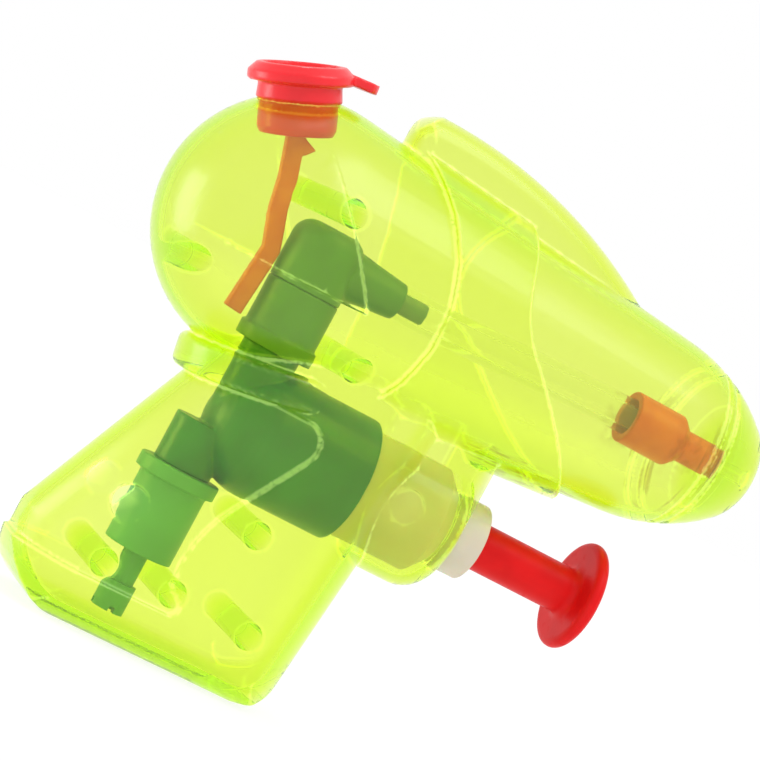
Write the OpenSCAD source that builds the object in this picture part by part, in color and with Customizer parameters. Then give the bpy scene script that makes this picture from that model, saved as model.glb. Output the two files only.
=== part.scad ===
// Pocket water squirter: two moulded half shells round a push-plunger pump.
// X points forward along the barrel, Y to the left and Z up from the foot of the grip.

/* [Tank and barrel] */
// Outer diameter of the round tank
tank_d = 35.4; // [34:0.2:36]
// Tank centre, forward of the middle of the grip's foot
tank_x = -7.1; // [-8:0.1:-6]
// Height of the barrel's axis over the foot
barrel_z = 57; // [55:0.5:60]
// Barrel diameter where the nose starts to curve
barrel_d = 25.8; // [25:0.2:27]
// Where the nose starts to curve
nose_start_x = 49.8; // [48.6:0.1:50.8]
// Radius of the nose's side curve
nose_curve_r = 26; // [24:0.5:28]
// Rounding of the nose's tip
tip_round_r = 7; // [6:0.2:8]
// Front face of the muzzle
muzzle_x = 66.4; // [65.6:0.1:67]
// Wall of the moulded shell
wall = 1.5; // [1.2:0.1:1.7]
// Solid tip of the muzzle
tip_length = 6.2; // [5.6:0.1:7]
// Place of the rear one of the nose's two ring grooves
ring_x = 55.6; // [54.6:0.1:56.4]
// Distance between the ring grooves
ring_gap = 1.8; // [1.4:0.1:2.2]
// Width of a ring groove
ring_width = 0.7; // [0.5:0.1:0.9]
// Depth of a ring groove
ring_depth = 0.4; // [0.2:0.05:0.5]
// Height of the tank's raised cheeks
cheek_rise = 0.57; // [0.5:0.01:0.7]

/* [Barrel sleeve] */
// Height of the sleeve over the barrel
sleeve_rise = 1.1; // [0.7:0.1:1.4]
// Foremost point of the sleeve's bowed rear edge
sleeve_rear_x = 12.1; // [11:0.1:13]
// How far that point lies under the barrel's axis
sleeve_rear_drop = 4.5; // [3:0.1:6]
// Radius of the rear edge
sleeve_rear_r = 32; // [28:0.5:36]
// Front edge of the sleeve at its top
sleeve_front_x = 21.1; // [20:0.1:22]
// Height over the barrel's axis at which the front edge starts to bend
sleeve_bend_rise = 10; // [8:0.1:11]
// Radius of that bend
sleeve_bend_r = 12; // [10:0.5:14]
// Forward lean of the front edge under the bend
sleeve_front_lean = 48; // [40:1:52]

/* [Fin] */
// Height of the fin's top over the foot
fin_top_z = 79.7; // [79:0.1:81]
// Rear edge of the fin
fin_rear_x = 1.1; // [0:0.1:3]
// Thickness of the fin
fin_thick = 8; // [7:0.2:9]
// Rounding of the fin's rear corner, seen from the side
fin_corner_r = 5.4; // [5:0.1:6]
// Radius of the fin's long top curve
fin_curve_r = 70; // [66:1:74]

/* [Grip] */
// Length of the flat foot
foot_length = 24.4; // [23:0.2:26]
// Room between the pump body and the grip's sides
grip_room = 0.3; // [0.25:0.05:0.8]
// Room between the outlet's foot and the grip's rear wall
neck_room = 0.6; // [0.2:0.05:1]
// Forward rake of the grip's front edge
front_rake = 6; // [4:0.5:8]
// Rounding of the rear corner of the foot
rear_corner_r = 9.4; // [8.6:0.2:10.2]
// Rounding of the front corner of the foot
front_corner_r = 8.4; // [7.6:0.1:9]
// Roundness of the rear edge, seen from above
rear_round_r = 11.5; // [11.4:0.1:13]
// Roundness of the front edge, seen from above
front_round_r = 13; // [12.2:0.1:15]
// Depth of the palm recess
palm_depth = 0.6; // [0.3:0.1:0.8]
// Front end of the palm recess at its top
palm_front_x = 7.2; // [6:0.1:8.6]
// Front edge of the palm recess at its waist
palm_waist_x = -1.9; // [-3:0.1:-0.4]
// Radius of the waist's curve
palm_waist_r = 17.5; // [15:0.5:20]
// Rounding of the recess's top corner
palm_corner_r = 3; // [2:0.1:4]
// Lower edge of the palm recess over the foot
palm_foot_z = 7; // [6:0.1:8]
// Rounding along the sides of the foot
foot_round_r = 4.6; // [4:0.1:5.4]
// Diameter of the collar under the tank
collar_d = 24.4; // [23.8:0.1:25]
// Thickness of the collar
collar_thick = 4.4; // [3.6:0.1:5]
// Rounding of the collar's edges
collar_round_r = 1; // [0.6:0.1:1.6]
// Middle of the collar, forward of the tank's centre
collar_offset = 6.1; // [5.5:0.1:6.8]
// Lean of the collar, up towards the front
collar_lean = 10; // [6:1:12]

/* [Pump] */
// Height of the pump's axis over the foot
pump_z = 32.2; // [31.4:0.1:33]
// Front face of the pump housing
housing_front_x = 31.5; // [30.4:0.1:33]
// Room between the pump cylinder and the housing
housing_room = 0.7; // [0.4:0.1:0.9]
// Rounding of the housing's front rim
housing_round_r = 4; // [3:0.1:4.6]
// Outer diameter of the pump body
pump_body_d = 17.2; // [16.8:0.1:17.4]
// Rear end of the pump body
pump_rear_x = -5.4; // [-5.6:0.1:-4.8]
// Front end of the pump body
pump_front_x = 16.1; // [15:0.1:17.3]
// Outer diameter of the pump cylinder
cylinder_d = 15; // [14.6:0.1:15.1]
// Bore of the pump cylinder
cylinder_bore = 11.4; // [11:0.1:11.8]
// Depth of the cylinder's seat in the pump body
seat_depth = 4.2; // [3.5:0.1:5]
// Outer diameter of the cylinder's front neck
neck_d = 10.6; // [10:0.1:11]
// How far the neck stands out of the shell
neck_reach = 4.1; // [3.5:0.1:5]
// Thickness of the cylinder's front end
cylinder_end = 2; // [1.6:0.1:2.4]

/* [Trigger] */
// Diameter of the plunger's rod
rod_d = 6.5; // [6:0.1:7]
// Rod in the open between the neck and the finger disc
rod_reach = 16; // [15:0.1:17.5]
// Diameter of the finger disc
disc_d = 15.4; // [14:0.1:16.4]
// Thickness of the finger disc
disc_thick = 1.9; // [1.5:0.1:2.4]
// Length of the piston
piston_length = 4; // [3.6:0.1:4.6]
// Width of the piston seal
seal_width = 1.6; // [1.4:0.1:1.8]
// Depth of the seal's groove
seal_depth = 1.3; // [1:0.1:1.5]
// Wire of the return spring
spring_wire = 0.8; // [0.7:0.05:0.9]
// Outer diameter of the return spring
spring_d = 9.4; // [9:0.1:10]
// Turns of the return spring
spring_turns = 8; // [7:0.5:9]

/* [Valves] */
// Diameter of both valve balls
ball_d = 5; // [4.8:0.1:5.2]
// Way that a valve ball can lift
ball_lift = 1.6; // [1.2:0.1:1.8]
// Bore of the water ways
water_bore = 3; // [2.6:0.1:3.2]
// Outer diameter of the outlet riser
riser_d = 10; // [9.6:0.1:10.2]
// Middle of the outlet riser, forward of the tank's centre
riser_offset = 5.7; // [5.5:0.1:6.2]
// Diameter of the riser's foot flange
riser_flange_d = 10.8; // [10.6:0.1:11]
// Thickness of the riser's foot flange
riser_flange = 2; // [1.6:0.1:2.2]
// Outer diameter of the inlet housing
inlet_d = 9.4; // [9:0.1:9.8]
// Middle of the inlet housing, forward of the tank's centre
inlet_offset = 2.5; // [2.3:0.1:2.8]
// Length of the inlet housing
inlet_length = 12; // [11:0.5:13]
// Diameter of the inlet housing's top flange
inlet_flange_d = 11.2; // [10.6:0.1:11.4]
// Outer diameter of the intake tube
intake_d = 3.4; // [3:0.1:3.8]
// Diameter of the intake strainer
strainer_d = 4.5; // [4.2:0.1:4.7]
// Depth of the intake tube in its two sockets
intake_depth = 2; // [1.5:0.1:2.6]
// Height of the strainer
strainer_height = 4; // [3:0.1:4.6]
// Gap under the strainer
strainer_gap = 0.9; // [0.5:0.1:1.2]

/* [Delivery] */
// Outer diameter of the hose
hose_d = 5; // [4.6:0.1:5.2]
// Bore of the hose
hose_bore = 3; // [2.6:0.1:3.2]
// How far the spout's axis lies under the barrel's axis
spout_drop = 1.2; // [1:0.1:1.6]
// Diameter of the spout at its root
spout_d = 7.8; // [7.2:0.1:8]
// End of the spout, forward of the riser's axis
spout_length = 12; // [11.4:0.1:13]
// Length of hose over the spout's barb and in the nozzle
hose_depth = 4; // [3:0.1:4.5]
// Diameter of the nozzle
nozzle_d = 7.4; // [6.8:0.1:7.8]
// Length of the nozzle's body
nozzle_length = 8.6; // [8:0.1:9.2]
// Diameter of the nozzle's front spigot
spigot_d = 4.5; // [4:0.1:4.8]
// Depth of the spigot in the muzzle
spigot_depth = 1.8; // [1.4:0.1:2.4]
// Free length of the spigot behind the muzzle's tip
spigot_reach = 4.6; // [4:0.1:5.2]
// Jet hole of the nozzle
jet_d = 1; // [0.8:0.1:1.2]
// Hole in the muzzle that the jet leaves by
muzzle_hole_d = 2; // [1.6:0.1:2.4]

/* [Fill cap] */
// Backward lean of the fill hole
fill_lean = 24.2; // [23:0.1:26]
// Diameter of the fill hole
fill_d = 10.4; // [10:0.1:10.8]
// Depth of the plug inside the hole's rim
plug_depth = 4.4; // [4:0.1:6]
// Height of the plug's neck over the hole's rim
cap_neck = 2.2; // [1.8:0.1:2.8]
// Diameter of the cap's flange
cap_d = 13.8; // [13.4:0.1:14.4]
// Thickness of the cap's flange
cap_thick = 2.4; // [2:0.1:2.8]
// Depth of the hollow in the cap's top
cap_hollow = 3; // [2:0.1:3.6]
// Reach of the pull tab past the flange
tab_reach = 3.4; // [3:0.1:4.2]
// Droop of the pull tab
tab_droop = 18; // [0:1:22]
// Width of the pull tab
tab_width = 5; // [4:0.1:6]
// Width of the strap
strap_width = 2.4; // [2:0.1:2.6]
// Thickness of the strap
strap_thick = 1.6; // [1.2:0.1:2]

/* [Shell posts] */
// Diameter of the posts that join the shells
post_d = 3.7; // [3.4:0.1:3.9]
// Diameter of the pins in the posts
pin_d = 2; // [1.8:0.1:2.2]
// Length of the pins
pin_length = 3; // [2:0.1:4]
// Diameter of the round marks inside the shells
mark_d = 4.9; // [4.4:0.1:5.4]
// Depth of the round marks
mark_depth = 0.3; // [0.2:0.05:0.4]

/* [Fits] */
// Clearance of seated pieces
seat_clearance = 0.05; // [0.03:0.01:0.06]
// Clearance of sliding pieces
slide_clearance = 0.05; // [0.03:0.01:0.08]

/* [Hidden] */
$fn = 48;

far = 100;
tank_r = tank_d / 2;
barrel_r = barrel_d / 2;

// The barrel's straight side is tangent to the tank and meets the nose's curve.
nose_gap = nose_start_x - tank_x;
side_normal = atan2(barrel_r, nose_gap) + acos(tank_r / norm([nose_gap, barrel_r]));
nose_centre = [nose_start_x, barrel_r] - nose_curve_r * [cos(side_normal), sin(side_normal)];
cavity_front_x = muzzle_x - tip_length;
// Angle at which the nose's side curve runs into the rounding of its tip
tip_turn = acos((muzzle_x - tip_round_r - nose_centre[0]) / (nose_curve_r - tip_round_r));
tip_centre = nose_centre + (nose_curve_r - tip_round_r) * [cos(tip_turn), sin(tip_turn)];

fin_half = fin_thick / 2;
fin_peak_x = fin_rear_x + fin_corner_r;
fin_sector = 40;
fin_overrun = 9;
// The fin's plate starts in the barrel's hollow, half the barrel's radius under the axis at its front end.
fin_root_r = (barrel_z - barrel_r / 2 - fin_top_z + fin_curve_r) / cos(fin_sector);
fin_corner_lift = 0.5;

grip_half = pump_body_d / 2 + grip_room + palm_depth + wall;
grip_width = 2 * grip_half;
grip_hollow_half = grip_half - wall - palm_depth;
rear_corner = [-foot_length / 2, rear_corner_r];
front_corner = [foot_length / 2, front_corner_r];
tank_floor_z = barrel_z - tank_r + wall;
outlet_foot_d = riser_d - 2;
// The grip's rear wall runs from the round of the heel to just behind the outlet's foot.
neck_way = [tank_x + riser_offset - outlet_foot_d / 2 - neck_room, tank_floor_z] - rear_corner;
heel_hollow_r = rear_corner_r - wall - palm_depth;
rear_rake = atan2(neck_way[0], neck_way[1]) + asin(heel_hollow_r / norm(neck_way));
// Corners of a raised cheek, from the tank's centre
cheek_corners = [[9.3, -4.6], [-3.4, 11], [-10.4, -5]];
// Shift that lets the cheek fade into the tank towards the rear
cheek_shift = [0.9, 0, -0.4];

collar_x = tank_x + collar_offset;
// How far the collar reaches up into the tank
collar_sink = 2.2;
collar_top_z = barrel_z - tank_r + collar_sink;
palm_top_z = collar_top_z - collar_thick;

housing_r = cylinder_d / 2 + housing_room + wall;
// How far the housing reaches back over the pump body
housing_lap = 8;
housing_rear_x = pump_front_x - housing_lap;
// How much slimmer the web is than the housing, on each side and at its front
web_inset = 1.8;
web_half = housing_r - web_inset;
web_setback = 0.6;
// The web and the grip end in the barrel's wall, this far inside its skin at the web's front edges.
web_sink = 1.1;
grip_top_z = barrel_z - sqrt(pow(side_r(housing_front_x), 2) - pow(web_half, 2)) + web_sink;

pump_body_r = pump_body_d / 2;
pump_dome_x = pump_rear_x + pump_body_r;
chamber_setback = 0.8;
chamber_rear_x = pump_dome_x + chamber_setback;
cylinder_rear_x = pump_front_x - seat_depth;
cylinder_front_x = housing_front_x - wall;
bore_front_x = cylinder_front_x - cylinder_end;
// Bevel that clears the round inside the housing's front rim
rim_gap = 0.2;
cylinder_bevel = housing_round_r - housing_room - wall + rim_gap;
neck_front_x = housing_front_x + neck_reach;
disc_rear_x = neck_front_x + rod_reach;
// Gap in front of the piston at rest
stop_gap = 0.2;
piston_front_x = bore_front_x - stop_gap;
piston_rear_x = piston_front_x - piston_length;
piston_r = cylinder_bore / 2 - slide_clearance;

riser_x = tank_x + riser_offset;
// Height of the outlet's foot over the tank's floor
riser_step = 1.8;
riser_foot_z = tank_floor_z + riser_step;
spout_z = barrel_z - spout_drop;
elbow_skirt = 0.6;
elbow_foot_z = spout_z - spout_d / 2 - elbow_skirt;
// Room over a lifted ball and round it
ball_headroom = 0.3;
outlet_seat_z = elbow_foot_z - ball_lift - ball_d - ball_headroom;
ball_side_room = 0.6;
ball_room_d = ball_d + 2 * ball_side_room;
// Height of a ball's middle over the edge of the hole that it closes
ball_seat = sqrt(pow(ball_d / 2, 2) - pow(water_bore / 2, 2));

inlet_x = tank_x + inlet_offset;
inlet_top_z = pump_z - pump_body_r - seat_clearance;
inlet_seat_z = inlet_top_z - ball_lift - ball_d - ball_headroom;
inlet_foot_z = inlet_top_z - inlet_length;
intake_wall = 0.6;
intake_bore = intake_d - 2 * intake_wall;
strainer_foot_z = wall + palm_depth + strainer_gap;
strainer_top_z = strainer_foot_z + strainer_height;

spout_end_x = riser_x + spout_length;
barb_end_x = spout_end_x + hose_depth;
barb_d = hose_bore - 2 * seat_clearance;
spigot_end_x = cavity_front_x + spigot_depth - seat_clearance;
nozzle_front_x = cavity_front_x - spigot_reach;
nozzle_rear_x = nozzle_front_x - nozzle_length;
hose_front_x = nozzle_rear_x + hose_depth;

fill_r = fill_d / 2;
plug_r = fill_r - seat_clearance;
rim_height = sqrt(tank_r * tank_r - fill_r * fill_r);
shoulder_height = rim_height + seat_clearance;
flange_height = shoulder_height + cap_neck;

// Posts between the shells, as places in X and Z
posts = [
  [tank_x + 2.3, spout_z + 6.9], [riser_x + 8.4, riser_foot_z + 3], [pump_dome_x + 2.9, pump_z - 11.3],
  [inlet_x - 5.6, 9.2], [inlet_x + 4.4, 9.4], [tank_x - 11.4, barrel_z - 8.6], [foot_length / 2 - 0.7, 8.8],
];

// Round marks inside the shells, as places in X and Z and half the hollow's width there
marks = [
  [inlet_x - 6.3, pump_z - 14.9, grip_hollow_half],
  [housing_front_x - 9.3, pump_z + 0.7, housing_r - wall],
];

function arc(centre, r, from, to, steps) =
  [for (i = [0:steps]) let (a = from + (to - from) * i / steps) centre + r * [cos(a), sin(a)]];

// Swaps a profile drawn as [along, radius] to the order that a turned solid needs.
function turned(points) = [for (p = points) [p[1], p[0]]];

function side_r(x) = (tank_r - (x - tank_x) * cos(side_normal)) / sin(side_normal);
function nose_r(x) = nose_centre[1] + sqrt(pow(nose_curve_r, 2) - pow(x - nose_centre[0], 2));

// Side of the tank, the barrel and the nose, up to where the nose's curve reaches an angle
function side_profile(inset, nose_end) = concat(
  arc([tank_x, 0], tank_r - inset, 180, side_normal, 18),
  arc(nose_centre, nose_curve_r - inset, side_normal, nose_end, 8)
);

module along_x() rotate([0, 90, 0]) children();
module along_y() rotate([-90, 0, 0]) children();
module from_side() rotate([90, 0, 0]) children();
module turn_on_x(z, profile) translate([0, 0, z]) along_x() rotate_extrude() polygon(turned(profile));
module tube_on_x(x0, x1, z, d) translate([x0, 0, z]) along_x() cylinder(d = d, h = x1 - x0);
module tube_on_z(x, z0, z1, d) translate([x, 0, z0]) cylinder(d = d, h = z1 - z0);

// Tank, barrel and nose as one turned form
module core() turn_on_x(barrel_z, concat(
  side_profile(0, tip_turn), arc(tip_centre, tip_round_r, tip_turn, 0, 8), [[muzzle_x, 0]]
));

module core_hollow() {
  nose_end = acos((cavity_front_x - nose_centre[0]) / (nose_curve_r - wall));
  turn_on_x(barrel_z, concat(side_profile(wall, nose_end), [[cavity_front_x, 0]]));
}

// Raised sleeve round the rear of the barrel, with a bowed rear edge and a bent front edge
module sleeve() {
  x0 = tank_x + 4;
  x1 = nose_start_x - 1;
  low = -0.25 * far;
  bend = [sleeve_front_x + sleeve_bend_r, sleeve_bend_rise];
  bend_end = bend - sleeve_bend_r * [cos(sleeve_front_lean), sin(sleeve_front_lean)];
  intersection() {
    turn_on_x(barrel_z, [
      [x0, side_r(x0) - wall / 2], [x0, side_r(x0) + sleeve_rise],
      [x1, side_r(x1) + sleeve_rise], [x1, side_r(x1) - wall / 2],
    ]);
    translate([0, far / 2, barrel_z]) from_side() linear_extrude(far) polygon(concat(
      arc([sleeve_rear_x - sleeve_rear_r, -sleeve_rear_drop], sleeve_rear_r, 62, -62, 12),
      [[bend_end[0] + (bend_end[1] - low) * tan(sleeve_front_lean), low]],
      arc(bend, sleeve_bend_r, 180 + sleeve_front_lean, 180, 8),
      [[sleeve_front_x, -low]]
    ));
  }
}

// Raised three-cornered cheeks on both sides of the tank
module cheeks() intersection() {
  translate(cheek_shift)
    turn_on_x(barrel_z, concat(side_profile(-cheek_rise, side_normal), [[nose_start_x, 0]]));
  translate([tank_x, far / 2, barrel_z]) from_side() linear_extrude(far) polygon(cheek_corners);
}

// Flat plate section with a full round rim
module rim_section(inner, outer, half) {
  translate([outer - half, 0]) circle(half);
  translate([inner, -half]) square([outer - half - inner, 2 * half]);
}

// Fin with a round rim along its top, round at its rear end from above and from the side
module fin(inset) {
  half = fin_half - inset;
  corner_r = fin_corner_r - inset;
  end_r = 1.1 * half;
  intersection() {
    translate([fin_peak_x, 0, fin_top_z - fin_curve_r]) from_side() rotate(90 - fin_sector)
      rotate_extrude(angle = fin_sector + fin_overrun)
        rim_section(fin_root_r, fin_curve_r - inset, half);
    translate([fin_rear_x + inset, 0, 0]) {
      translate([end_r, 0, 0]) cylinder(r = end_r, h = far);
      translate([end_r, -end_r, 0]) cube([far, 2 * end_r, far]);
    }
    translate([fin_rear_x + fin_corner_r, far / 2, fin_top_z - fin_corner_r + fin_corner_lift])
      from_side() linear_extrude(far) {
        circle(corner_r);
        translate([0, -far]) square([far, 2 * far]);
        translate([-corner_r, -far]) square([far, far]);
      }
  }
}

// Keeps what lies inside a raked edge of the grip, round at that edge.
module raked_edge(edge, rake, side, round_r, inset) {
  half = grip_half + 1;
  translate([edge[0], 0, edge[1]]) rotate([0, rake, 0]) translate([side * round_r, 0, -far / 2]) {
    cylinder(r = round_r - inset, h = far);
    translate([side > 0 ? 0 : -far, -half, 0]) cube([far, 2 * half, far]);
  }
}

module grip(inset) {
  half = grip_half - inset;
  rear_edge = rear_corner - rear_corner_r * [cos(rear_rake), -sin(rear_rake)];
  front_edge = front_corner + front_corner_r * [cos(front_rake), -sin(front_rake)];
  heel_x = rear_corner[0] - rear_corner_r - 0.1;
  flare = 6;
  rise = grip_top_z - rear_corner_r;
  intersection() {
    translate([0, grip_half, 0]) from_side() linear_extrude(grip_width) polygon(concat(
      arc(rear_corner, rear_corner_r - inset, 180 - rear_rake, 270, 8),
      arc(front_corner, front_corner_r - inset, 270, 360 - front_rake, 8),
      [front_edge + rise * [tan(front_rake + flare), 1], rear_edge + rise * [tan(rear_rake - flare), 1]]
    ));
    raked_edge(rear_edge, rear_rake, 1, rear_round_r, inset);
    raked_edge([heel_x, 0], 0, 1, rear_round_r, inset);
    raked_edge(front_edge, front_rake, -1, front_round_r, inset);
    translate([-far / 2, 0, 0]) rotate([90, 0, 90]) linear_extrude(far) polygon(concat(
      arc([foot_round_r - grip_half, foot_round_r], foot_round_r - inset, 180, 270, 6),
      arc([grip_half - foot_round_r, foot_round_r], foot_round_r - inset, 270, 360, 6),
      [[half, grip_top_z], [-half, grip_top_z]]
    ));
  }
}

// Outline of the palm recess, open to the rear
function palm_outline() = concat(
  [[-far / 2, palm_top_z]],
  arc([palm_front_x - palm_corner_r, palm_top_z - palm_corner_r], palm_corner_r, 90, -30, 6),
  arc([palm_waist_x + palm_waist_r, palm_foot_z + 6.5], palm_waist_r, 145, 190, 8),
  arc([palm_waist_x + palm_corner_r / 2, palm_foot_z + 1.2], 1.2, 30, -90, 4),
  [[-far / 2, palm_foot_z]]
);

// Grip with the palm recess sunk all round its rear
module grip_form() {
  grip(palm_depth);
  difference() {
    grip(0);
    translate([0, far / 2, 0]) from_side() linear_extrude(far) polygon(palm_outline());
  }
}

module collar() {
  edge_x = collar_d / 2 - collar_round_r;
  translate([collar_x, 0, collar_top_z]) rotate([0, -collar_lean, 0])
    translate([0, 0, -collar_thick]) rotate_extrude() polygon(concat(
    [[0, 0]],
    arc([edge_x, collar_round_r], collar_round_r, -90, 0, 4),
    arc([edge_x, collar_thick - collar_round_r], collar_round_r, 0, 90, 4),
    [[0, collar_thick]]
  ));
}

// Pump housing under the barrel, round at its front rim
module housing(inset) {
  r = housing_r - inset;
  corner = [housing_front_x - housing_round_r, housing_r - housing_round_r];
  turn_on_x(pump_z, concat(
    [[housing_rear_x, 0], [housing_rear_x, r]],
    arc(corner, housing_round_r - inset, 90, 0, 8),
    [[housing_front_x - inset, 0]]
  ));
}

// Web that joins the housing to the barrel
module web(inset) {
  half = web_half - inset;
  translate([housing_rear_x, -half, pump_z])
    cube([housing_front_x - web_setback - inset - housing_rear_x, 2 * half, grip_top_z - pump_z]);
}

module shell_form() {
  core();
  cheeks();
  sleeve();
  fin(0);
  grip_form();
  collar();
  housing(0);
  web(0);
}

module shell_hollow() {
  core_hollow();
  fin(wall);
  grip(wall + palm_depth);
  housing(wall);
  web(wall);
  for (m = marks) {
    reach = m[2] + mark_depth;
    translate([m[0], -reach, m[1]]) along_y() cylinder(d = mark_d, h = 2 * reach);
  }
}

module at_posts() for (p = posts) translate([p[0], 0, p[1]]) along_y() children();

module on_fill_axis() translate([tank_x, 0, barrel_z]) rotate([0, -fill_lean, 0]) children();

// Two fine grooves round the nose
module nose_rings() for (x = [ring_x, ring_x + ring_gap]) {
  half = ring_width / 2;
  foot = nose_r(x) - ring_depth;
  top = foot + wall;
  turn_on_x(barrel_z, [[x - half, foot], [x - half, top], [x + half, top], [x + half, foot]]);
}

module shell_holes() {
  nose_rings();
  on_fill_axis() translate([0, 0, rim_height - 2 * wall]) cylinder(d = fill_d, h = tank_r);
  tube_on_x(cavity_front_x - 1, cavity_front_x + spigot_depth, barrel_z, spigot_d + 2 * seat_clearance);
  tube_on_x(cavity_front_x, muzzle_x + 1, barrel_z, muzzle_hole_d);
  tube_on_x(cylinder_front_x - 1, housing_front_x + 1, pump_z, neck_d + 2 * seat_clearance);
}

// One half of the shell: side is 1 for the left half and -1 for the right
module half_shell(side) {
  intersection() {
    difference() {
      shell_form();
      difference() {
        shell_hollow();
        at_posts() translate([0, 0, -far / 2]) cylinder(d = post_d, h = far);
      }
      shell_holes();
    }
    translate([-far, side > 0 ? 0 : -far, -far]) cube([2 * far, far, 3 * far]);
  }
}

module right_shell() {
  color("GreenYellow") difference() {
    half_shell(-1);
    at_posts() translate([0, 0, -pin_length - 0.2])
      cylinder(d = pin_d + 2 * seat_clearance, h = pin_length + 1.2);
  }
}

module left_shell() {
  color("YellowGreen") {
    half_shell(1);
    at_posts() translate([0, 0, -pin_length]) cylinder(d = pin_d, h = pin_length + 0.5);
  }
}

module fill_cap() {
  cap_r = cap_d / 2;
  top = flange_height + cap_thick;
  foot = rim_height - plug_depth;
  lead = 0.8;
  bevel = 1.1;
  tab_thick = 1.3;
  tab_root = 1;
  tab_round_r = 0.6 * tab_width;
  color("Crimson") on_fill_axis() {
    rotate_extrude() polygon([
      [0, foot], [plug_r - lead / 2, foot], [plug_r, foot + lead], [plug_r, shoulder_height],
      [fill_r + 0.4, shoulder_height], [fill_r + 0.2, flange_height], [cap_r - 0.3, flange_height],
      [cap_r, flange_height + 0.3], [cap_r, top - bevel], [cap_r - bevel, top], [cap_r - 2, top],
      [cap_r - 2.3, top - cap_hollow], [0, top - cap_hollow],
    ]);
    translate([cap_r - tab_root, 0, flange_height + 0.4]) rotate([0, tab_droop, 0])
      linear_extrude(tab_thick) intersection() {
        translate([0, -tab_width / 2]) square([tab_root + tab_reach, tab_width]);
        translate([tab_root + tab_reach - tab_round_r, 0]) circle(tab_round_r);
      }
  }
}

// Middle line of the strap beside the fill axis, as [forward, up] from the tank's centre
strap_path = [[0, rim_height - plug_depth], [-0.6, 7], [-1.5, 3], [-2, -2.4], [-6.5, -10.4]];

// One edge of a strip along a path, offset to its side
function strip_edge(path, offset) = [
  for (i = [0:len(path) - 1])
    let (
      before = path[max(i - 1, 0)],
      after = path[min(i + 1, len(path) - 1)],
      way = i == 0 ? [0, -1] : (after - before) / norm(after - before)
    )
    path[i] + offset * [-way[1], way[0]]
];

function reversed(list) = [for (i = [len(list) - 1:-1:0]) list[i]];

module cap_strap() {
  half = strap_width / 2;
  barb = [[0, -0.4], [1.5, -1.9], [0.1, -2.6]];
  root = strap_path[0] + [half, 0];
  color("Tomato") on_fill_axis() translate([0, strap_thick / 2, 0]) from_side() linear_extrude(strap_thick) {
    polygon(concat(strip_edge(strap_path, half), reversed(strip_edge(strap_path, -half))));
    polygon([for (b = concat([[-half, -0.4]], barb, [[-half, -2.6]])) root + b]);
  }
}

module trigger_plunger() {
  rod_r = rod_d / 2;
  disc_r = disc_d / 2;
  groove_r = piston_r - seal_depth;
  groove_x = piston_rear_x + (piston_length - seal_width) / 2;
  boss_r = spring_d / 2 - spring_wire - 0.4;
  boss_x = piston_rear_x - 1.6;
  disc_edge = disc_thick / 2;
  fillet = 1;
  color("Red") turn_on_x(pump_z, concat(
    [
      [boss_x, 0], [boss_x, boss_r], [piston_rear_x, boss_r], [piston_rear_x, piston_r],
      [groove_x, piston_r], [groove_x, groove_r], [groove_x + seal_width, groove_r],
      [groove_x + seal_width, piston_r], [piston_front_x, piston_r], [piston_front_x, rod_r],
    ],
    arc([disc_rear_x - fillet, rod_r + fillet], fillet, 270, 360, 4),
    arc([disc_rear_x + disc_edge, disc_r - disc_edge], disc_edge, 180, 0, 10),
    [[disc_rear_x + disc_thick, 0]]
  ));
}

module piston_seal() {
  groove_x = piston_rear_x + (piston_length - seal_width) / 2 + seat_clearance;
  width = seal_width - 2 * seat_clearance;
  inner = piston_r - seal_depth + seat_clearance;
  outer = cylinder_bore / 2 - slide_clearance / 2;
  lip = 0.3;
  color("DimGray") turn_on_x(pump_z, [
    [groove_x, inner], [groove_x, outer - lip], [groove_x + lip, outer],
    [groove_x + width - lip, outer], [groove_x + width, outer - lip], [groove_x + width, inner],
  ]);
}

// Skin over rings of points: a closed run joins its last ring to its first, an open one is capped
module swept(rings, closed) {
  sides = len(rings[0]);
  count = len(rings);
  skin = [
    for (i = [0:count - (closed ? 1 : 2)], j = [0:sides - 1])
      let (a = i * sides, b = (i + 1) % count * sides, k = (j + 1) % sides)
      each [[a + j, b + j, b + k], [a + j, b + k, a + k]]
  ];
  last = (count - 1) * sides;
  caps = closed ? [] : [[for (j = [0:sides - 1]) j], [for (j = [sides - 1:-1:0]) last + j]];
  polyhedron([for (r = rings) each r], concat(skin, caps));
}

module return_spring() {
  wire_r = spring_wire / 2;
  coil_r = spring_d / 2 - wire_r;
  start_x = chamber_rear_x + wire_r;
  length = piston_rear_x - wire_r - start_x;
  steps = 16 * spring_turns;
  color("Silver") translate([0, 0, pump_z]) swept([
    for (i = [0:steps])
      let (a = 360 * spring_turns * i / steps)
      [for (b = [300:-60:0])
        let (r = coil_r + wire_r * cos(b))
        [start_x + length * i / steps + wire_r * sin(b), r * cos(a), r * sin(a)]]
  ], false);
}

module pump_cylinder() {
  r = cylinder_d / 2;
  color("WhiteSmoke") difference() {
    union() {
      turn_on_x(pump_z, [
        [cylinder_rear_x, 0], [cylinder_rear_x, r], [cylinder_front_x - cylinder_bevel, r],
        [cylinder_front_x, r - cylinder_bevel], [cylinder_front_x, 0],
      ]);
      tube_on_x(cylinder_front_x - 1, neck_front_x, pump_z, neck_d);
    }
    tube_on_x(cylinder_rear_x - 1, bore_front_x, pump_z, cylinder_bore);
    tube_on_x(bore_front_x - 1, neck_front_x + 1, pump_z, rod_d + 2 * slide_clearance);
  }
}

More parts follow.
